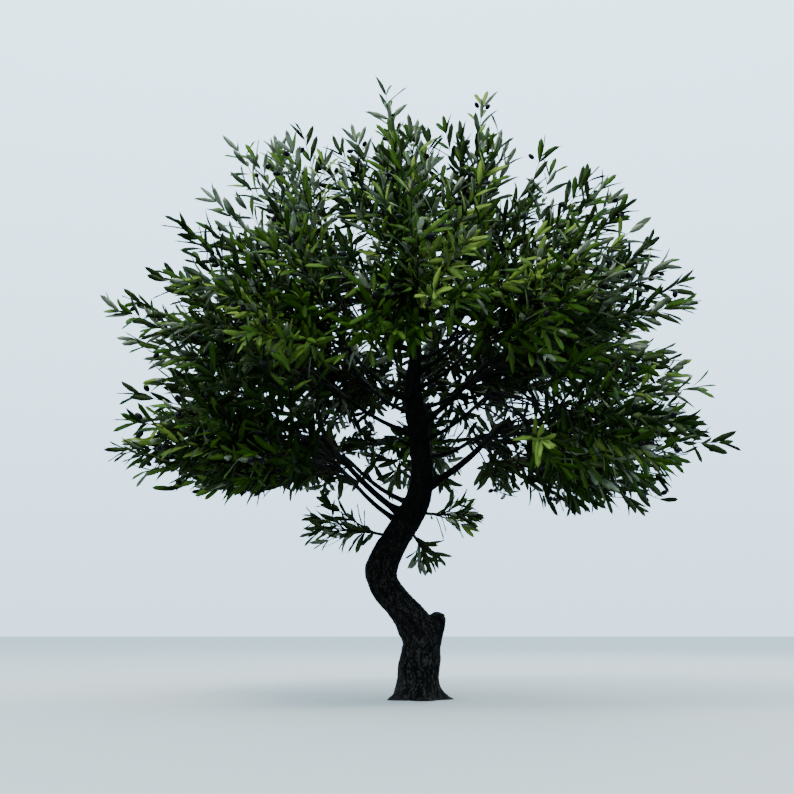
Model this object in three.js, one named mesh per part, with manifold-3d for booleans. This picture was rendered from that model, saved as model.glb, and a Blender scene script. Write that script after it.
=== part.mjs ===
// Artificial olive tree, 2.5 m tall. An S-bent trunk stands on a flared foot and carries tapering boughs,
// and each bough ends in a mass of leafy twigs. Together the masses make a dome that is open underneath,
// round the trunk. Millimetres, +Z up, the origin in the middle of the flat cut at ground level. +X is to
// the right and +Y away from the side that the tree is mostly seen from. Azimuths run from +X towards +Y,
// and elevations from the horizontal.
import * as THREE from "three";
import { ConvexGeometry } from "three/addons/geometries/ConvexGeometry.js";
import { mergeVertices } from "three/addons/utils/BufferGeometryUtils.js";
import Module from "manifold-3d";

const wasm = await Module();
wasm.setup();

// Directions and places in the crown are taken from its heart, on the trunk's axis.
const heart = new THREE.Vector3(0, 0, 1050);
const up = new THREE.Vector3(0, 0, 1);

// The trunk's centreline from under the ground cut to the leader's tip: x, y, z and radius.
const trunkLine = [
  [2, 0, -40, 80],
  [3, 0, 70, 78],
  [11, 2, 150, 74],
  [13, 4, 215, 70],
  [-21, 6, 285, 64],
  [-82, 8, 357, 56],
  [-119, 6, 408, 55],
  [-134, 2, 459, 59],
  [-120, -2, 513, 57],
  [-67, -6, 607, 53],
  [-12, -5, 695, 51],
  [15, 0, 770, 46],
  [21, 4, 850, 41],
  [15, 5, 940, 39],
  [6, 2, 1040, 43],
  [-9, -2, 1125, 38],
  [-13, 0, 1210, 32],
  [-4, 6, 1300, 25],
  [1, 4, 1420, 21],
  [-3, 0, 1560, 17],
];
const trunkSides = 12;
const trunkSteps = 28;
const fluting = { lobes: 3, depth: 0.045, turns: 0.4 };

// The foot spreads into low toes: height above ground and radius of its profile.
const footProfile = [
  [0, 118],
  [10, 103],
  [22, 92],
  [42, 83],
  [80, 76],
  [120, 60],
];
const toes = { count: 5, depth: 0.14, from: 0.5, height: 42 };
const footSides = 15;

// The sawn stub of a lost limb, on the right where the trunk starts to lean left.
const stub = { from: [38, 2, 190], to: [76, 4, 306], rootRadius: 50, tipRadius: 30, sides: 10 };

// Boughs, with the mass that each carries: where it leaves the trunk, the azimuth, its tip's distance out
// from the heart's axis and height, its root radius, and how steeply its mass rises and how far its longest
// twig reaches from the heart.
const boughs = [
  { name: "low_left_front", root: 640, azimuth: 214, out: 270, height: 765, radius: 12, rise: -6, reach: 1190 },
  { name: "low_left", root: 664, azimuth: 178, out: 290, height: 895, radius: 15, rise: -5, reach: 1215 },
  { name: "low_left_back", root: 715, azimuth: 138, out: 310, height: 880, radius: 12, rise: -4, reach: 1190 },
  { name: "low_back", root: 850, azimuth: 95, out: 290, height: 985, radius: 12, rise: -4, reach: 1180 },
  { name: "low_right_back", root: 905, azimuth: 46, out: 290, height: 985, radius: 12, rise: -4, reach: 1190 },
  { name: "low_right", root: 775, azimuth: 0, out: 260, height: 950, radius: 17, rise: -4, reach: 1255 },
  { name: "low_right_front", root: 965, azimuth: -42, out: 270, height: 1045, radius: 10, rise: -8, reach: 1190 },
  { name: "mid_left", root: 985, azimuth: 179, out: 280, height: 1140, radius: 11, rise: 21, reach: 1370 },
  { name: "mid_left_back", root: 1075, azimuth: 128, out: 265, height: 1205, radius: 11, rise: 26, reach: 1210 },
  { name: "mid_back", root: 1150, azimuth: 86, out: 255, height: 1240, radius: 10, rise: 27, reach: 1190 },
  { name: "mid_right_back", root: 1095, azimuth: 44, out: 260, height: 1205, radius: 11, rise: 26, reach: 1210 },
  { name: "mid_right", root: 1030, azimuth: 0, out: 205, height: 1195, radius: 14, rise: 28, reach: 1265 },
  { name: "mid_right_front", root: 1170, azimuth: -46, out: 240, height: 1245, radius: 10, rise: 26, reach: 1190 },
  { name: "mid_front", root: 1135, azimuth: 268, out: 250, height: 1235, radius: 10, rise: 30, reach: 1150 },
  { name: "mid_left_front", root: 1115, azimuth: 222, out: 260, height: 1210, radius: 11, rise: 26, reach: 1235 },
  { name: "high_left", root: 1330, azimuth: 184, out: 180, height: 1400, radius: 10, rise: 57, reach: 1405 },
  { name: "high_left_back", root: 1385, azimuth: 118, out: 165, height: 1430, radius: 9, rise: 55, reach: 1230 },
  { name: "high_right_back", root: 1300, azimuth: 52, out: 170, height: 1370, radius: 10, rise: 55, reach: 1220 },
  { name: "high_right", root: 1235, azimuth: -14, out: 165, height: 1340, radius: 11, rise: 50, reach: 1235 },
  { name: "high_front", root: 1270, azimuth: 262, out: 165, height: 1370, radius: 10, rise: 56, reach: 1100 },
  { name: "top_right", root: 1445, azimuth: -5, out: 95, height: 1535, radius: 9, rise: 78, reach: 1430 },
];
// The leader has no bough: its mass stands on the trunk's own tip.
const leader = { name: "top", azimuth: 180, rise: 85, reach: 1475 };

// Small sprays that leave the trunk low down, and hang in the open space under the dome. Each keeps to a
// ball and to its stem's way there.
const lowSprays = [
  { name: "low_spray_left", root: 590, centre: [-310, 40, 640], radius: 160 },
  { name: "low_spray_right", root: 685, centre: [152, -70, 665], radius: 115 },
  { name: "low_spray_hanging", root: 645, centre: [42, 120, 530], radius: 98 },
];

const boughSides = 6;
const boughSteps = 3;
const boughTaper = 0.68; // tip radius as a share of the root's
const boughBow = 0.12; // how far a bough sags below its chord, as a share of the chord
const clearance = 0.35; // between a limb and what stands on it

const stem = { length: 120, taper: 0.85, sides: 5, leaderShare: 0.9, sprayRadius: 6, spraySunk: 0.6 };
const twigs = { perMass: 4, perSpray: 3, tries: 40, sides: 3, rootRadius: 4.2, tipRadius: 3.8 };
// A twig's curve is cut into equal steps. The wood covers all but the last, and the leaf at the end covers
// that.
const twigSteps = { all: 4, wood: 3, endLeafFrom: 2.98 };
// Where twigs leave their stem, as shares of it, and the shape of their curve: how far its ends run
// straight, how much it turns away from the stem at once, and how much it lifts at the end.
const twigShape = { from: 0.25, to: 0.95, leave: 0.25, turn: 0.6, arrive: 0.3, lift: 0.16 };
// The cones that twigs point into, in degrees about a mass's axis or a low spray's stem, and the steepest
// way down.
const cone = { mass: 27, spray: 62, lowest: -20 };
// The dome that the masses make, as half-lengths from the heart: to the left and right, to the front and
// back, up, and down on each side. On its axis a mass stands out from the dome as far as its longest twig,
// and at its cone's rim its twigs end short of the dome by fall. Each is shorter again by a part of play.
const dome = { left: 1230, right: 1180, deep: 1090, up: 1300, downLeft: 450, downRight: 820 };
const short = { fall: 0.12, play: 0.14 };
// The lowest end of a twig, at the heart's axis, and how that changes to the back and to the right.
const hem = { height: 722, toBack: 0.15, toRight: -0.04 };
const sprayFill = 0.93; // how far out in its ball a low spray's twig ends
const sprayWay = 45; // radius of the way along a low spray's stem

// A leaf here stands for a whole shoot of the real plant's leaves, so it is far larger than life.
const leaf = { length: 245, width: 78, thickness: 2.8, neck: 1, widestAt: 0.48, angle: 42 };
const sprayLeaf = { ...leaf, length: 125, width: 36, thickness: 2 };
const leafPlaces = [1.15, 1.8, 2.3, 2.85]; // in steps along the twig
const sprayLeafPlaces = [1.2, 2.2];
const olive = { length: 31, width: 21, stalk: 26, stalkRadius: 1.6, sunk: 3, at: 1.5, forward: 0.4 };

const spaceMargin = 3; // kept free on each side of the border between two masses
const limbMargin = 1.5; // kept free round the limbs
const leafMargin = 0.5; // kept free between the leaves of a mass

// Steps that fill a range evenly however many are taken: one for a single range, two for the sides of a
// square.
const evenStep = (Math.sqrt(5) - 1) / 2;
const evenSteps = [0.7548776662, 0.569840291];

const bark = new THREE.MeshStandardMaterial({ color: 0x2e2a27, roughness: 0.85, metalness: 0 });
const foliage = new THREE.MeshStandardMaterial({ color: 0x2f5a26, roughness: 0.55, metalness: 0 });

const radians = THREE.MathUtils.degToRad;

// Numbers from 0 to 1 that depend on the seed alone.
function seeded(seed) {
  let state = Math.imul(seed + 1, 2654435761) >>> 0;
  return () => {
    state = (Math.imul(state, 1664525) + 1013904223) >>> 0;
    return state / 4294967296;
  };
}

const fraction = (x) => x - Math.floor(x);

function direction(azimuth, elevation) {
  const a = radians(azimuth);
  const e = radians(elevation);
  return new THREE.Vector3(Math.cos(a) * Math.cos(e), Math.sin(a) * Math.cos(e), Math.sin(e));
}

// Two directions square to this one and to each other, the first of them level.
function squareTo(along) {
  const isUpright = Math.abs(along.z) > 0.995;
  const side = isUpright ? new THREE.Vector3(1, 0, 0) : new THREE.Vector3().crossVectors(up, along);
  side.addScaledVector(along, -side.dot(along)).normalize();
  return [side, new THREE.Vector3().crossVectors(along, side)];
}

function solidOf(geometry) {
  const bare = geometry.clone();
  bare.deleteAttribute("normal");
  bare.deleteAttribute("uv");
  const merged = mergeVertices(bare, 1e-4);
  const triVerts = new Uint32Array(merged.index.array);
  return new wasm.Manifold(
    new wasm.Mesh({ numProp: 3, vertProperties: merged.attributes.position.array, triVerts }),
  );
}

function geometryOf(solid) {
  const { vertProperties, triVerts } = solid.getMesh();
  const geometry = new THREE.BufferGeometry();
  geometry.setAttribute("position", new THREE.BufferAttribute(new Float32Array(vertProperties), 3));
  geometry.setIndex(new THREE.BufferAttribute(new Uint32Array(triVerts), 1));
  geometry.computeVertexNormals();
  return geometry;
}

// A closed tube along a curve: an upright cylinder whose rings are carried onto the curve at equal steps,
// which may stop short of its end. radiusAt takes the share of the tube's length and the angle round the
// ring.
function tube(curve, radiusAt, sides, steps, kept = steps) {
  const geometry = new THREE.CylinderGeometry(1, 1, 1, sides, kept);
  const { normals, binormals } = curve.computeFrenetFrames(steps, false);
  const position = geometry.attributes.position;
  for (let i = 0; i < position.count; i++) {
    const ring = Math.round((position.getY(i) + 0.5) * kept);
    const [x, z] = [position.getX(i), position.getZ(i)];
    const radius = radiusAt(ring / kept, Math.atan2(z, x));
    const point = curve
      .getPointAt(ring / steps)
      .addScaledVector(binormals[ring], x * radius)
      .addScaledVector(normals[ring], z * radius);
    position.setXYZ(i, point.x, point.y, point.z);
  }
  return geometry;
}

const trunkCurve = new THREE.CatmullRomCurve3(trunkLine.map(([x, y, z]) => new THREE.Vector3(x, y, z)), false);
const trunkHeights = trunkLine.map(([, , z]) => z);
const trunkRadii = trunkLine.map(([, , , radius]) => radius);

function trunkRadius(height) {
  const above = trunkHeights.findIndex((z) => z > height);
  if (above === -1) return trunkRadii.at(-1);
  if (above === 0) return trunkRadii[0];
  const share = THREE.MathUtils.inverseLerp(trunkHeights[above - 1], trunkHeights[above], height);
  return THREE.MathUtils.lerp(trunkRadii[above - 1], trunkRadii[above], share);
}

// The middle of the trunk at a height, found by halving, as the centreline climbs all the way.
function trunkAt(height) {
  let [low, high] = [0, 1];
  for (let i = 0; i < 24; i++) {
    const middle = (low + high) / 2;
    if (trunkCurve.getPointAt(middle).z < height) low = middle;
    else high = middle;
  }
  return trunkCurve.getPointAt(low);
}

function trunkTube(extra) {
  const radiusAt = (share, angle) => {
    const flute = fluting.depth * Math.cos(fluting.lobes * angle + 2 * Math.PI * fluting.turns * share);
    return trunkRadius(trunkCurve.getPointAt(share).z) * (1 + flute) + extra;
  };
  return solidOf(tube(trunkCurve, radiusAt, trunkSides, trunkSteps));
}

// The foot is a turned profile whose lowest part swells and shrinks round the trunk, most at the ground.
function foot() {
  const outline = footProfile.map(([height, radius]) => new THREE.Vector2(radius, height));
  outline.unshift(new THREE.Vector2(0, outline[0].y));
  outline.push(new THREE.Vector2(0, outline.at(-1).y));
  const geometry = new THREE.LatheGeometry(outline, footSides);
  geometry.rotateX(Math.PI / 2);
  const position = geometry.attributes.position;
  for (let i = 0; i < position.count; i++) {
    const [x, y, z] = [position.getX(i), position.getY(i), position.getZ(i)];
    const spread = Math.max(0, 1 - z / toes.height);
    const swell = 1 + toes.depth * spread * Math.cos(toes.count * Math.atan2(y, x) + toes.from);
    position.setXYZ(i, x * swell + trunkLine[0][0], y * swell, z);
  }
  return solidOf(geometry);
}

function stubTube() {
  const line = new THREE.LineCurve3(new THREE.Vector3(...stub.from), new THREE.Vector3(...stub.to));
  const radiusAt = (share) => THREE.MathUtils.lerp(stub.rootRadius, stub.tipRadius, share);
  return solidOf(tube(line, radiusAt, stub.sides, 2));
}

// A bough's curve runs from the trunk's centre to its tip, a little below the straight line.
function boughCurve(bough) {
  const from = trunkAt(bough.root);
  const tip = direction(bough.azimuth, 0).multiplyScalar(bough.out).setZ(bough.height);
  const middle = from.clone().lerp(tip, 0.5).addScaledVector(up, -boughBow * from.distanceTo(tip));
  return new THREE.QuadraticBezierCurve3(from, middle, tip);
}

function boughTube(bough) {
  const radiusAt = (share) => bough.radius * THREE.MathUtils.lerp(1, boughTaper, share);
  return solidOf(tube(bough.curve, radiusAt, boughSides, boughSteps));
}

// Every mass has an axis from the heart, and a point belongs to the mass whose axis is nearest in angle.
// Low sprays have balls instead, which the others stay out of.
const masses = [...boughs, leader].map((row) => ({ ...row, axis: direction(row.azimuth, row.rise) }));

function inSpray(point, spray, margin) {
  if (point.distanceTo(spray.ball) < spray.radius + margin) return true;
  const nearest = spray.way.closestPointToPoint(point, true, new THREE.Vector3());
  return nearest.distanceTo(point) < sprayWay + margin;
}

const hemAt = (point) => hem.height + hem.toBack * point.y + hem.toRight * point.x;

function inOwnSpace(point, mass) {
  if (mass.ball) return inSpray(point, mass, 0);
  if (point.z < hemAt(point) - leaf.thickness) return false;
  const away = point.clone().sub(heart);
  const isNearest = masses.every((other) => {
    if (other.name === mass.name) return true;
    const across = mass.axis.clone().sub(other.axis).normalize();
    return away.dot(across) >= spaceMargin;
  });
  return isNearest && lowSprays.every((spray) => !inSpray(point, spray, spaceMargin));
}

function domeReach(pointing) {
  const rightward = (1 + pointing.x) / 2;
  const across = THREE.MathUtils.lerp(dome.left, dome.right, rightward);
  const down = THREE.MathUtils.lerp(dome.downLeft, dome.downRight, rightward);
  const height = pointing.z > 0 ? dome.up : down;
  return 1 / Math.hypot(pointing.x / across, pointing.y / dome.deep, pointing.z / height);
}

// Where a twig ends. The twigs' places in the cone are even, however many there are, and the first is on
// the axis and the longest.
function twigEnd(mass, index, draw) {
  const outward = Math.sqrt(fraction(index * evenSteps[0]));
  const polar = radians(mass.ball ? cone.spray : cone.mass) * outward;
  const around = 2 * Math.PI * fraction(mass.phase + index * evenSteps[1]);
  const [side, over] = squareTo(mass.axis);
  const pointing = mass.axis
    .clone()
    .multiplyScalar(Math.cos(polar))
    .addScaledVector(side, Math.sin(polar) * Math.cos(around))
    .addScaledVector(over, Math.sin(polar) * Math.sin(around));
  if (mass.ball) return { end: mass.ball.clone().addScaledVector(pointing, mass.radius * sprayFill), pointing };

  pointing.setZ(Math.max(pointing.z, Math.sin(radians(cone.lowest)))).normalize();
  const longest = THREE.MathUtils.lerp(mass.reach, domeReach(pointing), outward);
  const reach = index === 0 ? mass.reach : longest * (1 - short.fall * outward ** 2 - short.play * draw());
  const end = pointing.clone().multiplyScalar(reach).add(heart);
  end.z = Math.max(end.z, hemAt(end));
  return { end, pointing };
}

// A twig fans out from its stem, turns to its own direction and lifts towards its end.
function twigCurve(mass, index, draw) {
  const place = THREE.MathUtils.lerp(twigShape.from, twigShape.to, fraction(index * evenStep));
  const from = mass.stemFrom.clone().addScaledVector(mass.stemAlong, stem.length * place);
  const { end, pointing } = twigEnd(mass, index, draw);
  const length = from.distanceTo(end);
  const straight = end.clone().sub(from).divideScalar(length);
  const leaving = mass.stemAlong.clone().lerp(straight, twigShape.turn).normalize();
  const arriving = straight.clone().add(pointing).multiplyScalar(0.5);
  arriving.addScaledVector(up, mass.ball ? -twigShape.lift : twigShape.lift).normalize();
  return new THREE.CubicBezierCurve3(
    from,
    from.clone().addScaledVector(leaving, twigShape.leave * length),
    end.clone().addScaledVector(arriving, -twigShape.arrive * length),
    end,
  );
}

// A leaf lies along +X from a three-cornered root, flat on top and with a keel below.
function leafGeometry({ length, width, thickness, neck, widestAt }) {
  const [half, blade] = [width / 2, thickness / 2];
  return new ConvexGeometry([
    new THREE.Vector3(0, neck, neck),
    new THREE.Vector3(0, -neck, neck),
    new THREE.Vector3(0, 0, -blade),
    new THREE.Vector3(length * widestAt, half, blade),
    new THREE.Vector3(length * widestAt, -half, blade),
    new THREE.Vector3(length, 0, -blade),
  ]);
}

// Places a shape that grows along +X, with its back to +Z, at a point, pointing along and with its back
// near facing.
function grownAt(geometry, point, along, facing) {
  const side = new THREE.Vector3().crossVectors(facing, along).normalize();
  const back = new THREE.Vector3().crossVectors(along, side);
  const matrix = new THREE.Matrix4().makeBasis(along, side, back).setPosition(point);
  return geometry.clone().applyMatrix4(matrix);
}

function vertices(geometry) {
  const { position } = geometry.attributes;
  return Array.from({ length: position.count }, (_, i) => new THREE.Vector3().fromBufferAttribute(position, i));
}

function oliveGeometry() {
  const fruit = new THREE.SphereGeometry(1, 5, 3);
  fruit.rotateZ(Math.PI / 2);
  fruit.scale(olive.length / 2, olive.width / 2, olive.width / 2);
  fruit.translate(olive.stalk + olive.length / 2 - olive.sunk, 0, 0);
  const stalk = new THREE.CylinderGeometry(olive.stalkRadius, olive.stalkRadius, olive.stalk, 3);
  stalk.rotateZ(-Math.PI / 2);
  stalk.translate(olive.stalk / 2, 0, 0);
  return geometryOf(solidOf(fruit).add(solidOf(stalk)));
}

// The twig's straight run at a place counted in steps: a point on it, its direction, and the way out
// through the middle of one of its three faces.
function onTwig(curve, place, face) {
  const step = Math.floor(place);
  const [here, next] = [curve.getPointAt(step / twigSteps.all), curve.getPointAt((step + 1) / twigSteps.all)];
  const { normals, binormals } = curve.computeFrenetFrames(twigSteps.all, false);
  const turn = ((face + 0.5) * 2 * Math.PI) / twigs.sides;
  const out = binormals[step].clone().add(binormals[step + 1]).multiplyScalar(Math.sin(turn));
  out.addScaledVector(normals[step].clone().add(normals[step + 1]), Math.cos(turn));
  const along = next.clone().sub(here).normalize();
  out.addScaledVector(along, -out.dot(along)).normalize();
  return { point: here.lerp(next, place - step), along, out };
}

function sideLeaf(shape, curve, place, face) {
  const { point, along, out } = onTwig(curve, place, face);
  const pointing = along.clone().multiplyScalar(Math.cos(radians(leaf.angle)));
  pointing.addScaledVector(out, Math.sin(radians(leaf.angle)));
  return grownAt(shape, point, pointing, along);
}

// The leaf at a twig's end is drawn out or in to end where the twig's curve does.
function endLeaf(size, curve) {
  const { point } = onTwig(curve, twigSteps.endLeafFrom, 0);
  const toEnd = curve.getPoint(1).sub(point);
  return grownAt(leafGeometry({ ...size, length: toEnd.length() }), point, toEnd.normalize(), up);
}

function hangingOlive(curve) {
  const { point, along, out } = onTwig(curve, olive.at, 1);
  const hanging = out.clone().addScaledVector(up, -1).addScaledVector(along, olive.forward).normalize();
  return grownAt(oliveShape, point, hanging, along);
}

function stemSolid(mass) {
  const end = mass.stemFrom.clone().addScaledVector(mass.stemAlong, stem.length);
  const radiusAt = (share) => mass.stemRadius * THREE.MathUtils.lerp(1, stem.taper, share);
  const solid = solidOf(tube(new THREE.LineCurve3(mass.stemFrom, end), radiusAt, stem.sides, 1));
  return mass.ball ? solid.subtract(grownTrunk) : solid;
}

// The first of these shapes that stays in the mass's own space, off the limbs and clear of the others, if
// one does.
function firstFitting(shapes, mass, others) {
  for (const geometry of shapes) {
    if (!vertices(geometry).every((vertex) => inOwnSpace(vertex, mass))) continue;
    const solid = solidOf(geometry).simplify(0.01);
    if (solid.minGap(limbs, limbMargin) < limbMargin) continue;
    if (others.every((other) => solid.minGap(other, leafMargin) >= leafMargin)) return solid;
  }
  return null;
}

// A mass is one solid: its stem, its twigs, and the leaves and the olive on them. What doesn't fit is
// skipped, and a leaf tries each face of its twig first.
function massSolid(mass, seed) {
  const [count, size, places] = mass.ball
    ? [twigs.perSpray, sprayLeaf, sprayLeafPlaces]
    : [twigs.perMass, leaf, leafPlaces];
  const leafShape = leafGeometry(size);
  const twigRadius = (share) => THREE.MathUtils.lerp(twigs.rootRadius, twigs.tipRadius, share);
  const woods = [stemSolid(mass)];
  const hung = [];
  for (let index = 0; index < twigs.tries && woods.length <= count; index++) {
    const curve = twigCurve(mass, index, seeded(seed * twigs.tries + index));
    const twig = tube(curve, twigRadius, twigs.sides, twigSteps.all, twigSteps.wood);
    const wood = firstFitting([twig], mass, hung);
    if (!wood) continue;

    const choices = [[endLeaf(size, curve)]];
    places.forEach((place, i) => {
      choices.push([0, 1, 2].map((turn) => sideLeaf(leafShape, curve, place, i + woods.length + turn)));
    });
    if (woods.length === 1) choices.push([hangingOlive(curve)]);
    for (const shapes of choices) {
      const solid = firstFitting(shapes, mass, [...woods, ...hung]);
      if (solid) hung.push(solid);
    }
    woods.push(wood);
  }
  const parts = wasm.Manifold.union([...woods, ...hung]).simplify(0.02).decompose();
  return parts.reduce((largest, part) => (part.volume() > largest.volume() ? part : largest));
}

const oliveShape = oliveGeometry();
const tree = new THREE.Group();

function addNode(name, solid, material) {
  const mesh = new THREE.Mesh(geometryOf(solid), material);
  mesh.name = name;
  tree.add(mesh);
}

const trunk = trunkTube(0).add(foot()).add(stubTube()).trimByPlane([0, 0, 1], 0);
const grownTrunk = trunkTube(clearance);
addNode("trunk", trunk, bark);

const boughSolids = boughs.map((bough) => {
  bough.curve = boughCurve(bough);
  const solid = boughTube(bough).subtract(grownTrunk).simplify(0.01);
  addNode("bough_" + bough.name, solid, bark);
  return solid;
});
const limbs = wasm.Manifold.union([trunk, ...boughSolids]);

for (const spray of lowSprays) {
  const from = trunkAt(spray.root);
  spray.ball = new THREE.Vector3(...spray.centre);
  spray.way = new THREE.Line3(from, spray.ball);
  spray.stemAlong = spray.ball.clone().sub(from).normalize();
  spray.axis = spray.stemAlong;
  spray.stemFrom = from.clone().addScaledVector(spray.stemAlong, trunkRadius(spray.root) * stem.spraySunk);
  spray.stemRadius = stem.sprayRadius;
}

masses.forEach((mass) => {
  const bough = boughs.find(({ name }) => name === mass.name);
  const carrier = bough ? bough.curve : trunkCurve;
  mass.stemAlong = carrier.getTangentAt(1);
  mass.stemFrom = carrier.getPointAt(1).addScaledVector(mass.stemAlong, clearance);
  mass.stemRadius = bough ? bough.radius * boughTaper : trunkRadii.at(-1) * stem.leaderShare;
});

[...masses, ...lowSprays].forEach((mass, seed) => {
  mass.phase = fraction(0.5 + seed * evenStep);
  addNode("foliage_" + mass.name, massSolid(mass, seed), foliage);
});

export default tree;
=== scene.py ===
import math

import bmesh
import bpy
import numpy as np
from mathutils import Matrix, Vector, noise


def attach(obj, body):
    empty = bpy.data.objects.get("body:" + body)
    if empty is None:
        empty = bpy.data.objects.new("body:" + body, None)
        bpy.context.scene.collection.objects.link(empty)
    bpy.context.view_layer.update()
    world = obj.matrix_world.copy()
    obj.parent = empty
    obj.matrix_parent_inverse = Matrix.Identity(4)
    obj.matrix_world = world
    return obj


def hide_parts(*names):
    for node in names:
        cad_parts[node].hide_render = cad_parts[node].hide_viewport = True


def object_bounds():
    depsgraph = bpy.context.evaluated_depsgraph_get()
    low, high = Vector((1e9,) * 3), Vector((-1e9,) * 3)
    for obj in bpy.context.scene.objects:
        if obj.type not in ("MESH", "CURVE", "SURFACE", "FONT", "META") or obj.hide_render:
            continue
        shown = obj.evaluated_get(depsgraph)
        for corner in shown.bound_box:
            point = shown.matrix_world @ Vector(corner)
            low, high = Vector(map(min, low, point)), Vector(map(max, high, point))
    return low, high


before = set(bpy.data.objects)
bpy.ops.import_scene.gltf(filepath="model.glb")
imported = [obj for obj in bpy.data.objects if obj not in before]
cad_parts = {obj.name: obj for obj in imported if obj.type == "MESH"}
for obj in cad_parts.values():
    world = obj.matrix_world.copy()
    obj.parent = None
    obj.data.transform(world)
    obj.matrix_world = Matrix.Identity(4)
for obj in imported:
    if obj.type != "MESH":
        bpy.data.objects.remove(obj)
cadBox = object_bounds()

metre = 0.001  # one millimetre of the tables
up = np.array([0.0, 0.0, 1.0])
nearlyUpright = 0.995  # a direction that rises more than this takes its side from +X
# steps that spread things evenly: a turn, a share, and a pair of shares
goldenTurn = math.pi * (3 - math.sqrt(5))
evenStep = (math.sqrt(5) - 1) / 2
evenSteps = (0.7548776662, 0.569840291)
# numbers of the part's own random draws
draws = {"spread": 2654435761, "factor": 1664525, "step": 1013904223, "range": 2**32}


def unit(v):
    return v / np.linalg.norm(v, axis=-1, keepdims=True)


def direction(azimuth, elevation):
    a, e = math.radians(azimuth), math.radians(elevation)
    return np.array([math.cos(a) * math.cos(e), math.sin(a) * math.cos(e), math.sin(e)])


def squareTo(along):
    # two directions square to one and to each other
    side = np.array([1.0, 0, 0]) if abs(along[2]) > nearlyUpright else np.cross(up, along)
    side = unit(side - along * side.dot(along))
    return side, np.cross(along, side)


def turnTo(a, b, angle):
    # one direction turned towards another that is square to it
    return a * math.cos(angle) + b * math.sin(angle)


def outFrom(way, turn):
    # the direction square to a way, at some turn round it
    return turnTo(*squareTo(way), turn)


def seeded(seed):
    # the part's own random numbers, so that the first twigs come out where its solids have them
    state = (seed + 1) * draws["spread"] % draws["range"]

    def draw():
        nonlocal state
        state = (state * draws["factor"] + draws["step"]) % draws["range"]
        return state / draws["range"]

    return draw


def mix(a, b, share):
    return a + (b - a) * share


def bezier(points, steps):
    t = np.linspace(0, 1, steps)[:, None]
    if len(points) == 3:
        a, b, c = points
        return a * (1 - t) ** 2 + b * 2 * t * (1 - t) + c * t**2
    a, b, c, d = points
    return a * (1 - t) ** 3 + b * 3 * t * (1 - t) ** 2 + c * 3 * t**2 * (1 - t) + d * t**3


def smoothLine(points, perSpan):
    # centripetal spline through the points, as the part's trunk has
    points = np.array(points, float)
    ends = [2 * points[0] - points[1], *points, 2 * points[-1] - points[-2]]
    line = []
    for p0, p1, p2, p3 in zip(ends, ends[1:], ends[2:], ends[3:]):
        d0, d1, d2 = (np.linalg.norm(b - a) ** 0.5 for a, b in ((p0, p1), (p1, p2), (p2, p3)))
        m1 = ((p1 - p0) / d0 - (p2 - p0) / (d0 + d1) + (p2 - p1) / d1) * d1
        m2 = ((p2 - p1) / d1 - (p3 - p1) / (d1 + d2) + (p3 - p2) / d2) * d1
        for t in np.arange(perSpan) / perSpan:
            bend = (3 * (p2 - p1) - 2 * m1 - m2) * t**2 + (2 * (p1 - p2) + m1 + m2) * t**3
            line.append(p1 + m1 * t + bend)
    return np.array(line + [points[-1]])


def framesAlong(line):
    # directions along and square to a line, carried without twist
    along = unit(np.gradient(line, axis=0))
    side, over = squareTo(along[0])
    sides = [side]
    for tangent in along[1:]:
        side = sides[-1] - tangent * sides[-1].dot(tangent)
        sides.append(unit(side))
    sides = np.array(sides)
    return along, sides, np.cross(along, sides)


def stepLengths(line):
    return np.linalg.norm(np.diff(line, axis=0), axis=1)


def lengthsAlong(line):
    # the way from a line's start to each of its points
    return np.concatenate([[0], np.cumsum(stepLengths(line))])


def sampled(rows, places, wanted):
    # coordinates known at some places along a line, read at others
    return np.array([np.interp(wanted, places, rows[:, axis]) for axis in range(3)]).T


def addObject(name, data):
    obj = bpy.data.objects.new(name, data)
    bpy.context.scene.collection.objects.link(obj)
    return obj


def finishPiece(obj, slot, nodes, *materials):
    for material in materials:
        obj.data.materials.append(material)
    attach(obj, "root")
    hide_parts(*nodes)
    return obj


heart = np.array([0.0, 0.0, 1050.0])  # the crown's middle, from which reaches are measured
# points of the trunk's line and its radius there
trunkLine = [
    (2, 0, -40, 80), (3, 0, 70, 78), (11, 2, 150, 74), (13, 4, 215, 70),
    (-21, 6, 285, 64), (-82, 8, 357, 56), (-119, 6, 408, 55), (-134, 2, 459, 59),
    (-120, -2, 513, 57), (-67, -6, 607, 53), (-12, -5, 695, 51), (15, 0, 770, 46),
    (21, 4, 850, 41), (15, 5, 940, 39), (6, 2, 1040, 43), (-9, -2, 1125, 38),
    (-13, 0, 1210, 32), (-4, 6, 1300, 25), (1, 4, 1420, 21), (-3, 0, 1560, 17),
]
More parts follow.
